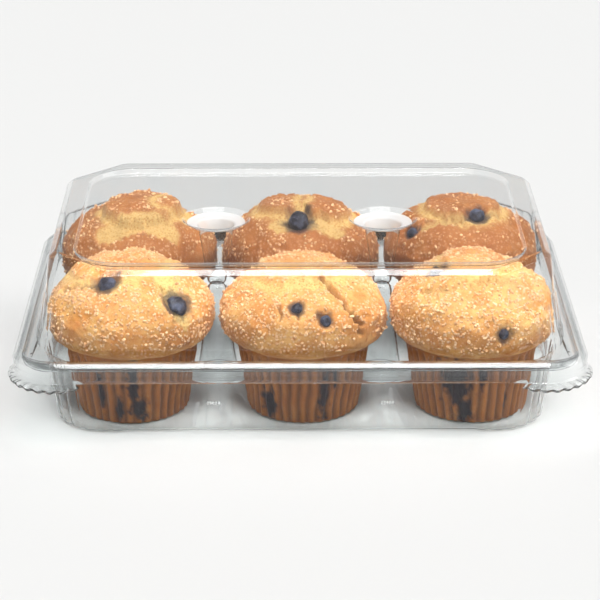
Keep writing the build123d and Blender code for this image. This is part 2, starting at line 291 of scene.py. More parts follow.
def muffin_crust():
    """Baked blueberry batter: golden crust, pale torn crumb, purple juice, dry base, and painted shade in
    deep cracks and pleat valleys.
    """
    material, tree, output = blank_material("baked muffin crust and crumb")
    place = add_node(tree, "ShaderNodeTexCoord")
    where = place.outputs["Object"]
    crumb, crevice_shade, pleat_groove_shade, juice, bake, sugar = (
        add_node(tree, "ShaderNodeAttribute", attribute_name=name).outputs["Fac"]
        for name in ("crumb", "crevice_shade", "pleat_groove_shade", "juice", "bake", "sugar")
    )

    patches = add_node(
        tree,
        "ShaderNodeTexNoise",
        {"Vector": where, "Scale": 1 / (16 * MM), "Detail": 5.0, "Roughness": 0.6},
    ).outputs["Fac"]
    speckle = add_node(
        tree,
        "ShaderNodeTexNoise",
        {"Vector": where, "Scale": 1 / (2.4 * MM), "Detail": 4.0, "Roughness": 0.65},
    ).outputs["Fac"]
    pores = add_node(
        tree,
        "ShaderNodeTexVoronoi",
        {"Vector": where, "Scale": 1 / (1.5 * MM), "Randomness": 1.0},
    ).outputs["Distance"]
    grains = add_node(
        tree,
        "ShaderNodeTexVoronoi",
        {"Vector": where, "Scale": 1 / (2.0 * MM), "Randomness": 1.0},
    )

    golden = blend_colours(
        tree, ramp(tree, patches, 0.36, 0.64), hex_colour("D18B45"), hex_colour("E5AD66")
    )
    freckled = blend_colours(
        tree, ramp(tree, speckle, 0.50, 0.72), golden, hex_colour("C26F2A")
    )
    browned = blend_colours(tree, bake, freckled, hex_colour("A05C1F"))
    grain_mask = maths(
        tree,
        "MULTIPLY",
        sugar,
        ramp(tree, grains.outputs["Distance"], 0.52, 0.22),
    )
    grain_mask = maths(tree, "MULTIPLY", grain_mask, ramp(tree, speckle, 0.40, 0.56))
    sugared = blend_colours(tree, grain_mask, browned, hex_colour("F5D0A8"))
    crumb_colour = blend_colours(
        tree, ramp(tree, pores, 0.15, 0.55), hex_colour("BF9145"), hex_colour("DDBA75")
    )
    torn = blend_colours(tree, crumb, sugared, crumb_colour)
    # Painted shade: the deep part of each crack is darkened as if in shadow.
    crack_shaded = blend_colours(tree, maths(tree, "MULTIPLY", crevice_shade, 0.8), torn, hex_colour("6E4520"))
    # Painted shade: the valleys of the base's pleats are darkened as if in shadow.
    pleat_shaded = blend_colours(tree, maths(tree, "MULTIPLY", pleat_groove_shade, 0.75), crack_shaded, hex_colour("5A3214"))
    stained = blend_colours(tree, juice, pleat_shaded, hex_colour("22141F"))

    relief = maths(tree, "MULTIPLY", speckle, 0.5)
    relief = maths(tree, "ADD", relief, maths(tree, "MULTIPLY", grain_mask, 0.9))
    relief = maths(tree, "ADD", relief, maths(tree, "MULTIPLY", pores, crumb))
    bump = add_node(
        tree,
        "ShaderNodeBump",
        {"Height": relief, "Strength": 0.7, "Distance": 0.7 * MM},
    )
    rough = add_node(
        tree,
        "ShaderNodeMapRange",
        {"Value": speckle, "To Min": 0.5, "To Max": 0.85},
    )
    cake = add_node(
        tree,
        "ShaderNodeBsdfPrincipled",
        {
            "Base Color": stained,
            "Roughness": rough.outputs["Result"],
            "IOR": 1.4,
            "Sheen Weight": 0.08,
            "Normal": bump.outputs["Normal"],
        },
    )
    tree.links.new(cake.outputs[0], output.inputs["Surface"])
    return material


def sugar_crystal():
    """Coarse baking sugar: small pale amber crystals that catch the light."""
    material, tree, output = blank_material("coarse baking sugar")
    place = add_node(tree, "ShaderNodeTexCoord")
    tint = add_node(
        tree,
        "ShaderNodeTexNoise",
        {"Vector": place.outputs["Object"], "Scale": 1 / (5 * MM), "Detail": 2.0},
    ).outputs["Fac"]
    colour = blend_colours(
        tree, ramp(tree, tint, 0.35, 0.65), hex_colour("E2A874"), hex_colour("F4CFA0")
    )
    grain = add_node(
        tree,
        "ShaderNodeBsdfPrincipled",
        {"Base Color": colour, "Roughness": 0.32, "IOR": 1.54},
    )
    tree.links.new(grain.outputs[0], output.inputs["Surface"])
    return material


def berry_skin():
    """Baked blueberry: wrinkled near-black skin with a slate bloom where it stayed dry."""
    material, tree, output = blank_material("baked blueberry skin")
    place = add_node(tree, "ShaderNodeTexCoord")
    bloom = add_node(
        tree,
        "ShaderNodeTexNoise",
        {"Vector": place.outputs["Object"], "Scale": 1 / (6 * MM), "Detail": 4.0},
    ).outputs["Fac"]
    wrinkles = add_node(
        tree,
        "ShaderNodeTexNoise",
        {"Vector": place.outputs["Object"], "Scale": 1 / (1.2 * MM), "Detail": 3.0},
    ).outputs["Fac"]
    colour = blend_colours(
        tree, ramp(tree, bloom, 0.42, 0.66), hex_colour("1D1826"), hex_colour("4B5064")
    )
    bump = add_node(
        tree,
        "ShaderNodeBump",
        {"Height": wrinkles, "Strength": 0.6, "Distance": 0.5 * MM},
    )
    rough = add_node(
        tree,
        "ShaderNodeMapRange",
        {"Value": bloom, "To Min": 0.25, "To Max": 0.65},
    )
    skin = add_node(
        tree,
        "ShaderNodeBsdfPrincipled",
        {
            "Base Color": colour,
            "Roughness": rough.outputs["Result"],
            "IOR": 1.4,
            "Normal": bump.outputs["Normal"],
        },
    )
    tree.links.new(skin.outputs[0], output.inputs["Surface"])
    return material


def studio_floor():
    """Matt white sweep."""
    material, tree, output = blank_material("matt white studio sweep")
    paper = add_node(
        tree,
        "ShaderNodeBsdfPrincipled",
        {"Base Color": hex_colour("DBDBDA"), "Roughness": 0.6},
    )
    tree.links.new(paper.outputs[0], output.inputs["Surface"])
    return material


# ---- turning a bmesh into a finished piece ----------------------------------
def finish_piece(mesh, name, material, body, smooth=True):
    """Writes the bmesh, in millimetres, as an object at the origin that rides on body."""
    bmesh.ops.scale(mesh, vec=(MM, MM, MM), verts=mesh.verts)
    data = bpy.data.meshes.new(name)
    mesh.to_mesh(data)
    mesh.free()
    piece = bpy.data.objects.new(name, data)
    bpy.context.scene.collection.objects.link(piece)
    data.materials.append(material)
    for face in data.polygons:
        face.use_smooth = smooth
    if body:
        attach(piece, body)
    return piece


# ---- rings that follow the container's outline ------------------------------
def corner_points(half_width, half_depth, radius, cut, flutes, swell):
    """Points of the corner zone at +X +Y, from its lead on the right side to its lead on the back.

    cut is 0 for a round corner of the given radius, or the leg of a 45 degree corner.
    """
    points = []
    if cut:
        tangent = DOME_EDGE_ROUND * math.tan(math.pi / 8)
        start = Vector((half_width, half_depth - cut - tangent))
        reach = cut + tangent
    else:
        start = Vector((half_width, half_depth - radius))
        reach = radius
    for step in range(LEAD_STEPS):
        points.append((start - Vector((0, LEAD * (1 - step / LEAD_STEPS))), Vector((1, 0))))
    for step in range(TURN_STEPS + 1):
        share = step / TURN_STEPS
        if cut:
            points.append(cut_corner_point(half_width, half_depth, cut, share))
        else:
            angle = share * math.pi / 2
            out = Vector((math.cos(angle), math.sin(angle)))
            centre = Vector((half_width - radius, half_depth - radius))
            points.append((centre + out * radius, out))
    end = Vector((half_width - reach, half_depth))
    for step in range(1, LEAD_STEPS + 1):
        points.append((end - Vector((LEAD * step / LEAD_STEPS, 0)), Vector((0, 1))))
    placed = []
    for index, (point, out) in enumerate(points):
        share = index / (len(points) - 1)
        scallop = abs(math.sin(math.pi * flutes * share)) ** 0.7
        fade = ease(min(share, 1 - share) / 0.08)
        placed.append(point + out * swell * scallop * fade)
    return placed


def cut_corner_point(half_width, half_depth, cut, share):
    """A point and its outward direction on a 45 degree corner with softened edges."""
    turn = 0.24
    round_radius = DOME_EDGE_ROUND
    tangent = round_radius * math.tan(math.pi / 8)
    if share < turn:
        angle = share / turn * math.pi / 4
        centre = Vector((half_width - round_radius, half_depth - cut - tangent))
        out = Vector((math.cos(angle), math.sin(angle)))
        return centre + out * round_radius, out
    if share > 1 - turn:
        angle = math.pi / 2 - (1 - share) / turn * math.pi / 4
        centre = Vector((half_width - cut - tangent, half_depth - round_radius))
        out = Vector((math.cos(angle), math.sin(angle)))
        return centre + out * round_radius, out
    out = Vector((1, 1)).normalized()
    shrink = tangent / math.sqrt(2)
    first = Vector((half_width - shrink, half_depth - cut + shrink))
    last = Vector((half_width - cut + shrink, half_depth - shrink))
    return first.lerp(last, (share - turn) / (1 - 2 * turn)), out


def ring_points(half_width, half_depth, level, radius=0.0, cut=0.0, flutes=1, swell=0.0):
    """All points of one ring, anticlockwise from the right side."""
    quarter = corner_points(half_width, half_depth, radius, cut, flutes, swell)
    ring = []
    for corner, (sign_x, sign_y) in enumerate(CORNER_SIGNS):
        points = [Vector((p.x * sign_x, p.y * sign_y)) for p in quarter]
        if corner % 2:
            points.reverse()
        ring.append(points)
    loop = []
    for corner in range(4):
        points = ring[corner]
        following = ring[(corner + 1) % 4]
        loop += points
        steps = LONG_STEPS if corner % 2 == 0 else SHORT_STEPS
        for step in range(1, steps):
            loop.append(points[-1].lerp(following[0], step / steps))
    return [Vector((p.x, p.y, level)) for p in loop]


def start_loop(mesh, points):
    """A closed loop of edges through the points."""
    verts = [mesh.verts.new(p) for p in points]
    edges = [mesh.edges.new((verts[i - 1], verts[i])) for i in range(len(verts))]
    return verts, edges


def extrude(mesh, edges):
    """Extrudes the edges and returns the new edges and the set of new vertices."""
    made = bmesh.ops.extrude_edge_only(mesh, edges=edges)["geom"]
    new_edges = [item for item in made if isinstance(item, bmesh.types.BMEdge)]
    return new_edges, {item for item in made if isinstance(item, bmesh.types.BMVert)}


def twin_of(vert, fresh):
    """The fresh vertex that an extrusion joined to this one."""
    return next(
        edge.other_vert(vert) for edge in vert.link_edges if edge.other_vert(vert) in fresh
    )


def extrude_loop(mesh, verts, edges, points):
    """Extrudes the loop and moves the new vertices to the points, in order."""
    new_edges, fresh = extrude(mesh, edges)
    new_verts = [twin_of(vert, fresh) for vert in verts]
    for vert, point in zip(new_verts, points):
        vert.co = point
    return new_verts, new_edges


def loft_rings(mesh, rings):
    """Joins rings with extruded faces and returns the first and last loop's edges."""
    verts, edges = start_loop(mesh, rings[0])
    first_edges = list(edges)
    for points in rings[1:]:
        verts, edges = extrude_loop(mesh, verts, edges, points)
    return first_edges, edges


def spin_profile(mesh, profile, centre_x, steps, merge):
    """Spins (radius, level) pairs a full turn about an upright axis and merges its doubles."""
    verts = [mesh.verts.new((centre_x + radius, 0, level)) for radius, level in profile]
    edges = [mesh.edges.new(pair) for pair in zip(verts, verts[1:])]
    bmesh.ops.spin(
        mesh,
        geom=verts + edges,
        cent=(centre_x, 0, 0),
        axis=(0, 0, 1),
        angle=TAU,
        steps=steps,
        use_merge=True,
    )
    bmesh.ops.remove_doubles(mesh, verts=mesh.verts, dist=merge)


def turned_profile(mesh, profile, centre_x):
    """Spins a post or a funnel and returns its first loop's edges."""
    spin_profile(mesh, profile, centre_x, steps=64, merge=0.001)
    top_level = profile[0][1]
    mouth = []
    for edge in mesh.edges:
        if edge.is_boundary and all(
            abs(v.co.z - top_level) < 0.01
            and abs(math.hypot(v.co.x - centre_x, v.co.y) - profile[0][0]) < 0.01
            for v in edge.verts
        ):
            mouth.append(edge)
    return mouth


def fill_between(mesh, loops):
    """Fills the flat area between an outer loop and the holes in it."""
    edges = [edge for loop in loops for edge in loop]
    bmesh.ops.triangle_fill(mesh, edges=edges, use_beauty=True, normal=(0, 0, 1))


def add_tabs(mesh, lip_edges, level, radius, droop):
    """Pulls the lip out into a drooping, fluted finger tab at each front corner."""
    for side in (-1, 1):
        centre = Vector((side * TAB_X, -TAB_Y))
        chosen = []
        for edge in lip_edges:
            middle = (edge.verts[0].co + edge.verts[1].co).xy / 2
            if middle.x * side < TAB_X - 20 or middle.y > -TAB_Y + 14:
                continue
            if (middle - centre).length < radius - 0.4:
                chosen.append(edge)
        start = {v: v.co.copy() for edge in chosen for v in edge.verts}
        order = list(start)
        reach = {}
        for vert in order:
            out = (vert.co.xy - centre).normalized()
            reach[vert] = (out, max(radius - (vert.co.xy - centre).length, 0.0))
        edges = chosen
        previous = {vert: vert for vert in order}
        steps = 8
        for step in range(1, steps + 1):
            edges, fresh = extrude(mesh, edges)
            share = step / steps
            for source in order:
                twin = twin_of(previous[source], fresh)
                previous[source] = twin
                out, length = reach[source]
                angle = math.atan2(out.y, out.x)
                wave = math.sin(angle * TAB_FLUTES) * TAB_FLUTE_HEIGHT * ease(share * 1.6)
                wave *= min(length / 4, 1)
                twin.co = Vector(
                    (
                        start[source].x + out.x * length * share,
                        start[source].y + out.y * length * share,
                        level + wave - droop * share**1.5 * min(length / 8, 1),
                    )
                )


def solidify(piece, thickness):
    """Gives an open sheet its wall, away from the side that its faces point to."""
    wall = piece.modifiers.new("wall", "SOLIDIFY")
    wall.thickness = thickness * MM
    wall.offset = -1.0
    wall.use_even_offset = True
    wall.use_quality_normals = True


# ---- lid --------------------------------------------------------------------
def rim_ring(inset, level):
    """One ring that follows the rim."""
    return ring_points(
        RIM_HALF_WIDTH - inset,
        RIM_HALF_DEPTH - inset,
        level,
        radius=max(RIM_RADIUS - inset, 3.0),
    )


def mixed(first, second, share):
    """Ring part of the way between two rings."""
    return [a.lerp(b, share) for a, b in zip(first, second)]


def dome_half_sizes(level, inset):
    """Half width and half depth inside the dome's drafted walls at a level."""
    foot_level = RIM_TOP - 6.0
    share = (level - foot_level) / (LID_TOP - foot_level)
    foot_width = RIM_HALF_WIDTH - DOME_FOOT_INSET
    foot_depth = RIM_HALF_DEPTH - DOME_FOOT_INSET
    return (
        foot_width + (DOME_TOP_HALF_WIDTH - foot_width) * share - inset,
        foot_depth + (DOME_TOP_HALF_DEPTH - foot_depth) * share - inset,
    )


def dome_ring(level, inset=0.0):
    """Upper dome outline at a level: straight walls and 45 degree corners."""
    cut = DOME_CUT - DOME_CUT_EASE * inset
    return ring_points(*dome_half_sizes(level, inset), level, cut=cut)


def fluted_dome_ring(level, swell, inset=0.0):
    """Lower dome outline: the same walls with round, fluted corners."""
    return ring_points(
        *dome_half_sizes(level, inset),
        level,
        radius=DOME_CORNER_RADIUS,
        flutes=DOME_FLUTES,
        swell=swell,
    )


def panel_ring(inset, level):
    """Outline of the recessed top panel."""
    return ring_points(
        DOME_TOP_HALF_WIDTH - PANEL_INSET - inset,
        DOME_TOP_HALF_DEPTH - PANEL_INSET - inset,
        level,
        radius=PANEL_RADIUS - inset,
    )


def build_lid(plastic, reflection_white):
    """Clear lid: lip, skirt, bead, channel, fluted dome, bevelled top, panel and funnels."""
    step = DOME_STEP_LEVEL
    crease = DOME_CREASE_LEVEL
    rim = [
        (0.0, LIP_LEVEL), (0.08, LIP_LEVEL + 0.4), (0.5, LIP_LEVEL + 1.0),
        (0.95, LIP_LEVEL + 1.7), (1.05, LIP_LEVEL + 2.4), (1.05, 43.9), (1.3, 44.25),
        (1.3, 44.8), (1.05, 45.2), (1.05, 48.2), (1.1, 48.9), (1.3, 49.45), (1.5, 49.65),
        (1.75, 49.9), (3.45, 51.6), (3.7, 51.83), (4.0, 51.95), (4.8, 52.0), (5.8, 52.0),
        (6.7, 51.8), (7.5, 51.3), (7.95, 50.3),
        (8.1, 48.6), (8.25, 47.0), (8.7, 46.2), (9.5, 45.95), (11.0, 45.95),
    ]
    rings = [rim_ring(inset, level) for inset, level in rim]
    foot = fluted_dome_ring(46.6, 0.4)
    rings += [
        mixed(rim_ring(11.4, 46.1), foot, 0.6),
        foot,
        fluted_dome_ring(48.5, DOME_FLUTE_SWELL),
        fluted_dome_ring(crease - 0.4, DOME_FLUTE_SWELL),
        fluted_dome_ring(crease, DOME_FLUTE_SWELL, 0.15),
        fluted_dome_ring(crease + 0.5, DOME_FLUTE_SWELL, 0.55),
        fluted_dome_ring(crease + 1.4, DOME_FLUTE_SWELL, 0.6),
        fluted_dome_ring(64.0, DOME_FLUTE_SWELL, 0.6),
        fluted_dome_ring(70.0, DOME_FLUTE_SWELL, 0.6),
        fluted_dome_ring(step - 2.0, DOME_FLUTE_SWELL * 0.8, 0.6),
        mixed(fluted_dome_ring(step - 0.9, 0.5, 0.7), dome_ring(step - 0.9, 0.7), 0.25),
        mixed(fluted_dome_ring(step - 0.3, 0.2, 0.8), dome_ring(step - 0.3, 0.8), 0.65),
        dome_ring(step, 0.8),
        dome_ring(step + 1.0, 0.6),
        dome_ring(84.0, 0.3),
        dome_ring(92.0),
        dome_ring(LID_TOP - BEVEL - 0.9),
        dome_ring(LID_TOP - BEVEL - 0.2, 0.1),
        dome_ring(LID_TOP - BEVEL + 0.25, 0.4),
        dome_ring(LID_TOP - BEVEL + 0.45, 0.6),
        dome_ring(LID_TOP - 0.5, BEVEL - 0.35),
        dome_ring(LID_TOP - 0.3, BEVEL - 0.15),
        dome_ring(LID_TOP - 0.05, BEVEL + 0.3),
        dome_ring(LID_TOP, BEVEL + 1.0),
        mixed(dome_ring(LID_TOP, BEVEL + 1.0), panel_ring(-1.0, LID_TOP), 0.5),
        panel_ring(-0.9, LID_TOP),
        panel_ring(-0.3, LID_TOP - 0.15),
        panel_ring(0.0, LID_TOP - 0.6),
        panel_ring(0.5, LID_TOP - PANEL_DEPTH + 0.6),
        panel_ring(0.9, LID_TOP - PANEL_DEPTH + 0.1),
        panel_ring(1.6, LID_TOP - PANEL_DEPTH),
        panel_ring(4.0, LID_TOP - PANEL_DEPTH),
    ]
    mesh = bmesh.new()
    lip_edges, panel_edges = loft_rings(mesh, rings)
    panel_level = LID_TOP - PANEL_DEPTH
    funnel = [
        (DISH_RADIUS + 2.2, panel_level), (DISH_RADIUS + 0.8, panel_level),
        (DISH_RADIUS + 0.2, panel_level - 0.2), (DISH_RADIUS - 0.4, panel_level - 0.8),
        (17.4, 96.2), (16.0, 95.4), (14.6, 95.05), (12.2, 95.0), (11.3, 94.7), (10.7, 93.9),
        (9.6, 87.0), (8.2, 78.0), (6.6, 67.5), (5.3, 59.2), (4.8, 58.3), (4.0, 57.9),
        (2.0, 57.8), (0.05, 57.8),
    ]
    mouths = [turned_profile(mesh, funnel, side * POST_X) for side in (-1, 1)]
    fill_between(mesh, [panel_edges, *mouths])
    live_lip = [edge for edge in lip_edges if edge.is_valid]
    add_tabs(mesh, live_lip, LIP_LEVEL, TAB_RADIUS, 2.0)
    bmesh.ops.recalc_face_normals(mesh, faces=mesh.faces)
    lid = finish_piece(mesh, "lid_shell", plastic, "lid")
    lid.data.materials.append(reflection_white)
    # The dish faces take the whitened sheet: a painted reflection of the overhead light.
    for face in lid.data.polygons:
        middle = face.center / MM
        reach = math.hypot(abs(middle.x) - POST_X, middle.y)
        drawn = middle.z > REFLECTION_LEVEL or (middle.y > 1.0 and middle.z > REFLECTION_BACK_LEVEL)
        if REFLECTION_INNER < reach < REFLECTION_OUTER and drawn:
            face.material_index = 1
    solidify(lid, SHEET)
    for node in LID_NODES:
        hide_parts(node)


# ---- tray -------------------------------------------------------------------
def body_ring(share, level, swell, inset=0.0):
    """Tray wall outline, share 0 at the floor and 1 at the ledge."""
    return ring_points(
        FLOOR_HALF_WIDTH + (MOUTH_HALF_WIDTH - FLOOR_HALF_WIDTH) * share - inset,
        FLOOR_HALF_DEPTH + (MOUTH_HALF_DEPTH - FLOOR_HALF_DEPTH) * share - inset,
        level,
        radius=BODY_RADIUS - inset,
        flutes=TRAY_FLUTES,
        swell=swell,
    )


def post_outline():
    """Stepped post, from the tray floor up: rings every few millimetres."""
    profile = [(16.0, TABLE_CLEARANCE), (14.0, TABLE_CLEARANCE), (13.2, 0.9)]
    rings = 12
    for ring in range(rings):
        level = 2.2 + ring * (POST_TOP - 4.0) / rings
        radius = 12.6 - 7.2 * ((level / POST_TOP) ** 0.8)
        pitch = (POST_TOP - 4.0) / rings
        profile += [
            (radius, level),
            (radius - 0.05, level + 0.45 * pitch),
            (radius - 0.5, level + 0.7 * pitch),
            (radius - 0.45, level + 0.9 * pitch),
        ]
    profile += [(4.9, POST_TOP - 1.4), (4.2, POST_TOP - 0.5), (2.5, POST_TOP), (0.05, POST_TOP)]
    return profile


def build_tray(plastic):
    """Clear tray: skirt, hollow bead, ledge, fluted walls, floor and two posts."""
    rim = [
        (2.0, SKIRT_LEVEL), (2.0, 42.5), (2.0, 46.0), (2.05, 48.5), (2.35, 49.3), (4.0, 50.9),
        (4.7, 51.15), (5.6, 51.1), (6.4, 50.8), (6.85, 50.2), (7.0, 49.0), (7.05, 47.0),
        (7.2, 45.9), (7.7, 45.35), (8.6, LEDGE_LEVEL), (11.0, LEDGE_LEVEL), (14.0, LEDGE_LEVEL),
    ]
    rings = [rim_ring(inset, level) for inset, level in rim]
    swell = TRAY_FLUTE_SWELL
    mouth = body_ring(1.0, LEDGE_LEVEL, 0.5, -1.4)
    rings += [
        mixed(rim_ring(14.5, LEDGE_LEVEL), mouth, 0.6),
        mouth,
        body_ring(1.0, LEDGE_LEVEL - 0.2, 0.8, -0.6),
        body_ring(1.0, LEDGE_LEVEL - 0.8, 1.1, -0.1),
        body_ring(0.97, LEDGE_LEVEL - 2.0, swell),
        body_ring(0.75, 34.0, swell),
        body_ring(0.5, 22.5, swell),
        body_ring(0.25, 11.5, swell),
        body_ring(0.06, 3.2, swell, 0.1),
        body_ring(0.03, 1.9, swell, 0.4),
        body_ring(0.0, 1.0, swell * 0.8, 1.0),
        body_ring(0.0, 0.5, swell * 0.5, 2.0),
        body_ring(0.0, TABLE_CLEARANCE, 0.2, 3.2),
        body_ring(0.0, TABLE_CLEARANCE, 0.0, 6.0),
    ]
    mesh = bmesh.new()
    skirt_edges, floor_edges = loft_rings(mesh, rings)
    mouths = [turned_profile(mesh, post_outline(), side * POST_X) for side in (-1, 1)]
    fill_between(mesh, [floor_edges, *mouths])
    add_tabs(mesh, [e for e in skirt_edges if e.is_valid], SKIRT_LEVEL, TAB_RADIUS - 1.0, 2.0)
    bmesh.ops.recalc_face_normals(mesh, faces=mesh.faces)
    tray = finish_piece(mesh, "tray_shell", plastic, "tray")
    solidify(tray, SHEET)
    for node in TRAY_NODES:
        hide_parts(node)


def build_lugs(reflection_white):
    """Four small ribbed stacking lugs, pressed out of the tray's long walls."""
    mesh = bmesh.new()
    wall = FLOOR_HALF_DEPTH + (MOUTH_HALF_DEPTH - FLOOR_HALF_DEPTH) * LUG_LEVEL / LEDGE_LEVEL
    for side_x in (-1, 1):
        for side_y in (-1, 1):
            for rib in range(LUG_RIBS):
                place = Matrix.Translation(
                    (
                        side_x * POST_X + (rib - (LUG_RIBS - 1) / 2) * LUG_PITCH,
                        side_y * (wall + LUG_STAND_OUT),
                        LUG_LEVEL,
                    )
                )
                shape = Matrix.Diagonal((*LUG_RADII, 1))
                bmesh.ops.create_icosphere(
                    mesh, subdivisions=2, radius=1.0, matrix=place @ shape
                )
    # The lugs take the whitened sheet: a painted highlight where their ribs catch the light.
    finish_piece(mesh, "tray_lugs", reflection_white, "tray")


# ---- hinge ------------------------------------------------------------------
def build_hinge(plastic):
    """Flexing strip that runs from the tray's rear bead round to the lid's.

    A short first and last run keep the strip's long faces smooth up to its ends.
    """
    mesh = bmesh.new()
    steps = 10
    reach = 2.4
    gap = 0.35
    end = 0.3
    runs = 22
    outline = [(HINGE_Y - 4.0, HINGE_Z - gap), (HINGE_Y - reach, HINGE_Z - gap)]
    for step in range(steps + 1):
        angle = -math.pi / 2 + math.pi * step / steps
        outline.append((HINGE_Y - 0.5 + math.cos(angle) * 0.9, HINGE_Z + math.sin(angle) * gap))
    outline += [(HINGE_Y - reach, HINGE_Z + gap), (HINGE_Y - 4.0, HINGE_Z + gap)]
    verts = [mesh.verts.new((-HINGE_LENGTH / 2, y, z)) for y, z in outline]
    edges = [mesh.edges.new(pair) for pair in zip(verts, verts[1:])]
    for length in [end] + [(HINGE_LENGTH - 2 * end) / runs] * runs + [end]:
        edges, moved = extrude(mesh, edges)
        bmesh.ops.translate(mesh, verts=list(moved), vec=(length, 0, 0))
    bmesh.ops.recalc_face_normals(mesh, faces=mesh.faces)
    strip = finish_piece(mesh, "hinge_strip", plastic, None)
    solidify(strip, SHEET / 2)
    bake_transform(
        strip,
        "tray",
        "lid",
        start=(0, (HINGE_Y - reach) * MM, (HINGE_Z - gap) * MM),
        end=(0, (HINGE_Y - reach) * MM, (HINGE_Z + gap) * MM),
    )
    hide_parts("hinge")


# ---- muffins ----------------------------------------------------------------
BASE_FOOT_RADIUS = 33.0
BASE_TOP_RADIUS = 39.5
BASE_LEVEL = 45.0
CROWN_LEVEL = 57.0
MUFFIN_FOOT = 0.7
RIBS = 38
SIDE_PLAY = 0.5              # crust kept in from the crown's full radius
TOP_PLAY = 0.2               # crust allowed over the crown's full height
CRUST_REACH = 147.4          # crust stops here, clear of the dome's side walls
GRAIN_REACH = 146.8          # sugar grains stop here


class Muffin:
    """Where one muffin stands, its size, and the marks on its crown."""

    def __init__(self, name, centre, size, crown_top, finish, caps, tears, berries, stains):
        self.name = name
        self.centre = centre
        self.radius, self.height, self.seed = size
        self.crown_top = crown_top
        self.sugar, self.brown = finish
        self.caps = caps
        self.tears = tears
        self.berries = berries
        self.stains = stains


# size: crown radius, height and the seed of its lumps
# finish: how much sugar the crown carries, and how brown it is baked
# caps: (x, y, radius, rise) of a raised crust plate with torn edges
# tears: (points in plan from the muffin's middle, width, depth, crumb shown; the rest of the crack gets
# painted shade)
# berries: (direction in degrees, rise in degrees, diameter)
# stains: (direction in degrees, level, half width in degrees, half height)
MUFFINS = [
    Muffin(
        "front_left", (-98.8, -50.0), (49.2, 91.0, 11), 89.0, (1.0, 0.0),
        [(-8, 6, 27, 2.4)],
        [
            ([(20, -12), (22, -24), (30, -32)], 13.0, 1.8, 1.0),
            ([(18, -22), (22, -33), (27, -38)], 2.0, 3.0, 0.4),
            ([(-38, -12), (-27, -20), (-18, -21)], 3.0, 2.6, 0.2),
        ],
        [(-120.0, 58.0, 11.0), (-45.0, 31.0, 13.0)],
        [(-118, 22, 4, 15), (-100, 10, 4, 12), (-86, 26, 5, 17), (-80, 11, 8, 8)],
    ),
    Muffin(
        "front_middle", (2.0, -50.0), (49.2, 89.0, 23), 87.0, (0.8, 0.08),
        [(-2, 4, 26, 2.6)],
        [
            ([(9, -16), (17, -26), (24, -34), (34, -37)], 4.0, 6.0, 0.3),
            ([(-4, -22), (6, -24)], 9.0, 1.5, 0.9),
            ([(-14, -36), (-13, -42)], 1.6, 2.4, 0.1),
            ([(-6, -40), (-3, -44)], 1.4, 2.2, 0.1),
        ],
        [(-96.0, 36.0, 7.0), (-74.0, 23.0, 7.0)],
        [(-126, 12, 9, 10), (-70, 22, 5, 18), (-60, 30, 3, 10)],
    ),
    Muffin(
        "front_right", (101.0, -50.0), (48.4, 91.0, 37), 89.5, (1.0, 0.0),
        [(4, 6, 24, 2.0)],
        [
            ([(-30, -22), (-18, -28), (-4, -24), (14, -25)], 4.0, 2.4, 0.6),
            ([(8, -20), (20, -22)], 8.0, 1.5, 0.6),
        ],
        [(-72.0, 8.0, 7.0), (-162.0, 60.0, 9.0)],
        [(-108, 27, 15, 15), (-100, 10, 9, 10), (-84, 32, 4, 8), (-58, 12, 3, 9)],
    ),
    Muffin(
        "back_left", (-99.5, 50.0), (48.8, 94.0, 41), 88.0, (0.4, 0.92),
        [(3, -1, 24, 6.4), (20, -4, 9, 1.2)],
        [([(-18, -27), (2, -24), (20, -26)], 15.0, 1.2, 0.8)],
        [(78.0, 40.0, 11.0), (120.0, 25.0, 10.0)],
        [(-100, 20, 6, 10)],
    ),
    Muffin(
        "back_middle", (1.0, 50.0), (49.0, 94.0, 53), 89.5, (0.4, 1.0),
        [(-12, 0, 15, 4.6), (15, -2, 15, 4.2)],
        [([(-14, -24), (0, -20), (22, -26)], 13.0, 1.2, 0.8)],
        [(-93.0, 61.0, 13.0), (80.0, 35.0, 10.0)],
        [(-80, 20, 6, 10)],
    ),
    Muffin(
        "back_right", (101.0, 50.0), (48.4, 93.0, 67), 90.0, (0.3, 1.0),
        [(0, 2, 24, 3.4)],
        [([(-24, -24), (-4, -22), (8, -17), (20, -12)], 6.0, 2.0, 0.7)],
        [(-63.0, 66.0, 10.0), (-148.0, 37.0, 7.0)],
        [(-95, 20, 6, 10)],
    ),
]


def muffin_profile(muffin):
    """(radius, level) pairs from the crown's middle, round its rim and down to the foot."""
    profile = []
    crown_steps = 54
    for step in range(crown_steps):
        angle = math.pi / 2 * (1 - step / crown_steps)
        profile.append(
            (
                max(muffin.radius * math.cos(angle), 0.02),
                CROWN_LEVEL + (muffin.crown_top - CROWN_LEVEL) * math.sin(angle) ** 0.9,
            )
        )
    under_steps = 14
    for step in range(under_steps + 1):
        angle = math.pi / 2 * step / under_steps
        profile.append(
            (
                BASE_TOP_RADIUS + (muffin.radius - BASE_TOP_RADIUS) * math.cos(angle),
                CROWN_LEVEL - (CROWN_LEVEL - BASE_LEVEL) * math.sin(angle),
            )
        )
    base_steps = 26
    for step in range(1, base_steps + 1):
        share = step / base_steps
        profile.append(
            (
                BASE_TOP_RADIUS + (BASE_FOOT_RADIUS - BASE_TOP_RADIUS) * share,
                BASE_LEVEL + (MUFFIN_FOOT + 2.0 - BASE_LEVEL) * share,
            )
        )
    profile += [
        (BASE_FOOT_RADIUS - 0.4, MUFFIN_FOOT + 0.8),
        (BASE_FOOT_RADIUS - 1.4, MUFFIN_FOOT + 0.15),
        (BASE_FOOT_RADIUS - 3.5, MUFFIN_FOOT),
        (BASE_FOOT_RADIUS * 0.5, MUFFIN_FOOT),
        (0.02, MUFFIN_FOOT),
    ]
    return profile


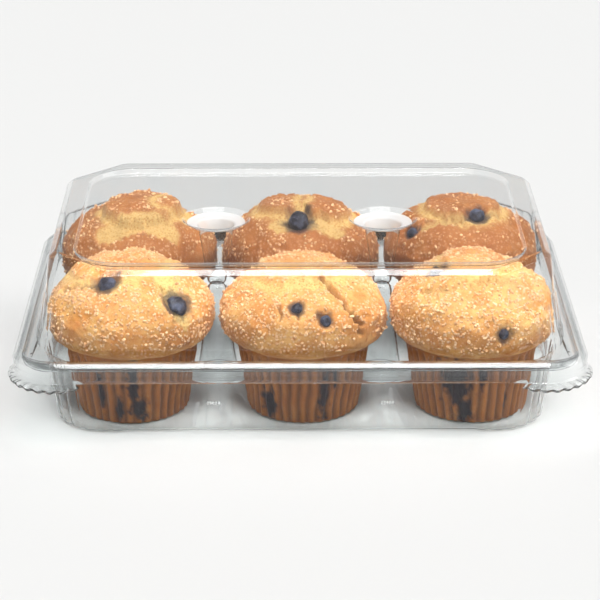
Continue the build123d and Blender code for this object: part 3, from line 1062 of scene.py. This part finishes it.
def distance_to_path(point, path):
    """Shortest distance in plan from a point to a path of straight runs."""
    best = 1e9
    for first, last in zip(path, path[1:]):
        start, end = Vector(first), Vector(last)
        run = end - start
        share = min(max((point - start).dot(run) / run.length_squared, 0), 1)
        best = min(best, (point - start - run * share).length)
    return best


def berry_place(muffin, direction, rise, diameter):
    """Middle of a berry just under the crown's skin, from the muffin's own axis."""
    sink = 0.3 * diameter
    out = (muffin.radius - sink) * math.cos(math.radians(rise))
    return Vector(
        (
            out * math.cos(math.radians(direction)),
            out * math.sin(math.radians(direction)),
            CROWN_LEVEL
            + (muffin.height - CROWN_LEVEL - sink) * math.sin(math.radians(rise)),
        )
    )


def lumps(place, seed, size, octaves=2):
    """Smooth noise near -1 to 1 with lumps of the given size."""
    shifted = place / size + Vector((seed * 3.7, seed * 1.3, seed * 2.1))
    return noise.fractal(shifted, 0.9, 2.0, octaves)


def crown_move(muffin, place, rise):
    """How far the crust stands out at a point of the crown, how much crumb shows, and how much painted shade
    darkens a crack.
    """
    big = lumps(place, muffin.seed, 30.0)
    middle = lumps(place, muffin.seed + 5, 10.0)
    fine = lumps(place, muffin.seed + 9, 3.0, 3)
    move = 2.2 * big * ease(rise + 0.4) + 1.2 * middle + 0.5 * fine
    crumb = crevice_shade = 0.0
    plan = Vector((place.x, place.y)) + Vector((middle, -fine)) * 2.2
    if rise > 0.02:
        for centre_x, centre_y, radius, lift in muffin.caps:
            reach = (plan - Vector((centre_x, centre_y))).length + 2.0 * big - radius
            move += lift * (1 - ease((reach + 1.5) / 3.0))
            crumb = max(crumb, 0.8 * math.exp(-(((reach - 2.5) / 2.8) ** 2)))
        for path, width, depth, shown in muffin.tears:
            reach = distance_to_path(plan, path)
            inside = 1 - ease((reach - width * 0.32) / (0.3 + width * 0.2))
            move -= depth * inside * (0.8 + 0.5 * fine)
            move += 0.7 * math.exp(-(((reach - width * 0.5 - 1.4) / 1.2) ** 2))
            crumb = max(crumb, inside * shown)
            # Where a crack shows no crumb, its depth is painted dark as shade.
            crevice_shade = max(crevice_shade, inside * (1 - shown))
    return move, crumb, crevice_shade


def shape_muffin(mesh, muffin):
    """Moves the turned vertices into a baked shape and paints its marks, with painted shade in the cracks
    and pleat valleys.
    """
    layers = {
        name: mesh.verts.layers.float.new(name)
        for name in ("crumb", "crevice_shade", "juice", "bake", "sugar", "pleat_groove_shade")
    }
    fruit = [(berry_place(muffin, *berry), berry[2]) for berry in muffin.berries]
    for vert in mesh.verts:
        turned = vert.co.copy()
        place = turned.copy()
        radius = math.hypot(place.x, place.y)
        direction = math.atan2(place.y, place.x)
        out = Vector((math.cos(direction), math.sin(direction), 0))
        rise = (place.z - CROWN_LEVEL) / (muffin.crown_top - CROWN_LEVEL)
        crumb = crevice_shade = juice = pleat_groove_shade = 0.0
        if place.z >= BASE_LEVEL - 0.01:
            up = ease(rise * 1.2)
            normal = (out * (1 - up) + Vector((0, 0, 1)) * up).normalized()
            move, crumb, crevice_shade = crown_move(muffin, place, rise)
            for middle_point, diameter in fruit:
                near = (turned - middle_point).length / diameter
                pocket = 1 - ease((near - 0.55) / 0.5)
                move = move * (1 - pocket) - 0.16 * diameter * pocket
                ragged = near * (1 + 0.3 * lumps(place, muffin.seed + 4, 5.0, 3))
                juice = max(juice, 0.85 * (1 - ease((ragged - 0.55) / 0.4)))
            place += normal * move
            radius_now = math.hypot(place.x, place.y)
            limit = muffin.radius - SIDE_PLAY
            if radius_now > limit:
                place.x *= limit / radius_now
                place.y *= limit / radius_now
            place.z = min(place.z, muffin.height + TOP_PLAY)
            reach = muffin.centre[0] + place.x
            if abs(reach) > CRUST_REACH:
                place.x -= math.copysign(abs(reach) - CRUST_REACH, reach)
        else:
            share = (BASE_LEVEL - place.z) / BASE_LEVEL
            wander = lumps(place, muffin.seed, 22.0)
            pleat_groove_shade = abs(math.cos(direction * RIBS / 2 + 0.7 * wander)) ** 2.5
            depth = ease(share * 5) * ease((place.z - MUFFIN_FOOT) / 2.0 + 0.3)
            place -= out * depth * (2.1 * pleat_groove_shade - 0.4 * lumps(place, muffin.seed + 2, 4.0))
            # The same value that sinks a pleat valley paints it darker, as shade.
            pleat_groove_shade *= depth
            for angle, level, half_width, half_height in muffin.stains:
                turn = (math.degrees(direction) - angle + 180) % 360 - 180
                ragged = 1 + 0.6 * lumps(place, muffin.seed + 3, 4.0, 3)
                spread = (turn / half_width) ** 2 + ((place.z - level) / half_height) ** 2
                juice = max(juice, 1 - ease((math.sqrt(spread) * ragged - 0.6) / 0.6))
        rim = math.exp(-(((turned.z - CROWN_LEVEL + 4) / 7) ** 2))
        patch = 0.5 + 0.5 * lumps(turned, muffin.seed + 13, 14.0)
        base = 0.95 if turned.z < BASE_LEVEL else muffin.brown
        cover = ease((lumps(turned, muffin.seed + 21, 20.0) + 0.75) / 0.7)
        values = {
            "crumb": crumb,
            "crevice_shade": crevice_shade,
            "juice": juice,
            "pleat_groove_shade": pleat_groove_shade,
            "bake": min(max(0.6 * rim * patch + base + 0.3 * (patch - 0.6), 0), 1),
            "sugar": muffin.sugar
            * cover
            * ease((turned.z - BASE_LEVEL - 3) / 4)
            * (1 - min(1.2 * crumb + juice + crevice_shade, 1)),
        }
        for name, value in values.items():
            vert[layers[name]] = value
        vert.co = place


def build_muffin(muffin, crust):
    """A turned profile, lumped, cracked, ribbed and stained. Returns its sugar sites."""
    mesh = bmesh.new()
    spin_profile(mesh, muffin_profile(muffin), 0, steps=272, merge=0.012)
    shape_muffin(mesh, muffin)
    bmesh.ops.recalc_face_normals(mesh, faces=mesh.faces)
    sites = sugar_sites(mesh, muffin)
    bmesh.ops.translate(mesh, verts=mesh.verts, vec=(*muffin.centre, 0))
    body = f"muffin_{muffin.name}"
    piece = finish_piece(mesh, f"cake_{muffin.name}", crust, body)
    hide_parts(f"muffin_{muffin.name}")
    return sites


def sugar_sites(mesh, muffin):
    """Places and outward directions for the loose sugar crystals on one crown."""
    dice = random.Random(muffin.seed)
    layer = mesh.verts.layers.float["sugar"]
    sites = []
    candidates = [
        vert
        for vert in mesh.verts
        if vert[layer] > 0.25
        and vert.co.z > CROWN_LEVEL - 6
        and abs(muffin.centre[0] + vert.co.x) < GRAIN_REACH
    ]
    wanted = int(1000 * muffin.sugar)
    for vert in dice.sample(candidates, min(wanted * 3, len(candidates))):
        if len(sites) >= wanted:
            break
        radius = math.hypot(vert.co.x, vert.co.y)
        if dice.random() < vert[layer] * min(radius / (0.6 * muffin.radius), 1):
            sites.append((vert.co.copy(), vert.normal.copy()))
    return sites


def build_sugar(muffin, sites, sugar):
    """Coarse sugar crystals, each a small turned block, half sunk in the crust."""
    dice = random.Random(muffin.seed + 1)
    mesh = bmesh.new()
    for place, out in sites:
        size = dice.uniform(0.5, 1.2)
        turn = Matrix.Rotation(dice.uniform(0, TAU), 4, Vector(
            (dice.uniform(-1, 1), dice.uniform(-1, 1), dice.uniform(-1, 1))
        ).normalized())
        stretch = Matrix.Diagonal((size * dice.uniform(0.8, 1.4), size, size * 0.7, 1))
        spot = Matrix.Translation(place + out * size * 0.1)
        bmesh.ops.create_icosphere(mesh, subdivisions=1, radius=1.0, matrix=spot @ turn @ stretch)
    bmesh.ops.translate(mesh, verts=mesh.verts, vec=(*muffin.centre, 0))
    finish_piece(
        mesh, f"sugar_{muffin.name}", sugar, f"muffin_{muffin.name}", smooth=False
    )


def build_berries(muffin, skin):
    """Baked berries: sunken, wrinkled balls."""
    mesh = bmesh.new()
    for index, berry in enumerate(muffin.berries):
        middle = berry_place(muffin, *berry)
        radius = berry[2] / 2
        ball = bmesh.ops.create_icosphere(
            mesh, subdivisions=4, radius=radius, matrix=Matrix.Translation(middle)
        )
        for vert in ball["verts"]:
            out = (vert.co - middle).normalized()
            dent = lumps(vert.co, muffin.seed + index, 5.0) * 0.17
            wrinkle = lumps(vert.co, muffin.seed + index + 7, 1.8) * 0.05
            vert.co = middle + out * radius * (0.93 + dent + wrinkle)
    bmesh.ops.translate(mesh, verts=mesh.verts, vec=(*muffin.centre, 0))
    bmesh.ops.recalc_face_normals(mesh, faces=mesh.faces)
    piece = finish_piece(
        mesh, f"berries_{muffin.name}", skin, f"muffin_{muffin.name}"
    )
    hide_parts(f"blueberries_{muffin.name}")


# ---- camera, light and floor ------------------------------------------------
def look_from(place, target):
    """Turn that points a camera or a lamp at the target."""
    return (Vector(target) - Vector(place)).to_track_quat("-Z", "Y").to_euler()


camera_data = bpy.data.cameras.new("camera")
camera_data.lens = 138.2
camera_data.sensor_width = 36.0
camera = bpy.data.objects.new("camera", camera_data)
camera_place = Vector((-8.3, -1303.0, 558.9)) * MM
camera.location = camera_place
camera.rotation_euler = look_from(camera_place, Vector((0.35, 0.0, 45.65)) * MM)
bpy.context.scene.collection.objects.link(camera)
bpy.context.scene.camera = camera
bpy.context.scene.view_settings.view_transform = "Standard"


def add_sun(name, towards, strength, spread):
    """Soft distant light that shines from the given direction."""
    data = bpy.data.lights.new(name, "SUN")
    data.energy = strength
    data.angle = math.radians(spread)
    lamp = bpy.data.objects.new(name, data)
    lamp.rotation_euler = look_from(towards, (0, 0, 0))
    bpy.context.scene.collection.objects.link(lamp)


add_sun("overhead softbox", (0.1, -0.12, 0.98), 1.95, 44)
add_sun("strip softbox", (0.02, -0.36, 0.93), 1.1, 14)
add_sun("right side softbox", (0.8, -0.1, 0.6), 1.1, 40)
add_sun("front fill", (-0.2, -0.85, 0.5), 0.36, 34)

# The studio is dim all round, but for a pale backdrop low behind the object.
world = bpy.data.worlds.new("studio")
world.use_nodes = True
studio = world.node_tree
towards = add_node(
    studio,
    "ShaderNodeSeparateXYZ",
    {"Vector": add_node(studio, "ShaderNodeTexCoord").outputs["Generated"]},
)
backdrop = maths(
    studio,
    "MULTIPLY",
    ramp(studio, towards.outputs["Y"], 0.2, 0.7),
    ramp(studio, towards.outputs["Z"], 0.4, 0.05),
)
glow = maths(studio, "ADD", maths(studio, "MULTIPLY", backdrop, 0.65), 0.15)
background = studio.nodes["Background"]
background.inputs["Color"].default_value = hex_colour("F4F5F6")
studio.links.new(glow, background.inputs["Strength"])
bpy.context.scene.world = world

floor_mesh = bmesh.new()
bmesh.ops.create_grid(floor_mesh, x_segments=1, y_segments=1, size=6000.0)
floor = finish_piece(floor_mesh, "studio_floor", studio_floor(), None, smooth=False)


# ---- build everything -------------------------------------------------------
plastic = clear_pet()
build_tray(plastic)
reflection_white = reflection_white_pet()
build_lid(plastic, reflection_white)
build_lugs(reflection_white)
build_hinge(plastic)

crust = muffin_crust()
sugar = sugar_crystal()
skin = berry_skin()
for muffin in MUFFINS:
    build_sugar(muffin, build_muffin(muffin, crust), sugar)
    build_berries(muffin, skin)

bpy.context.view_layer.update()
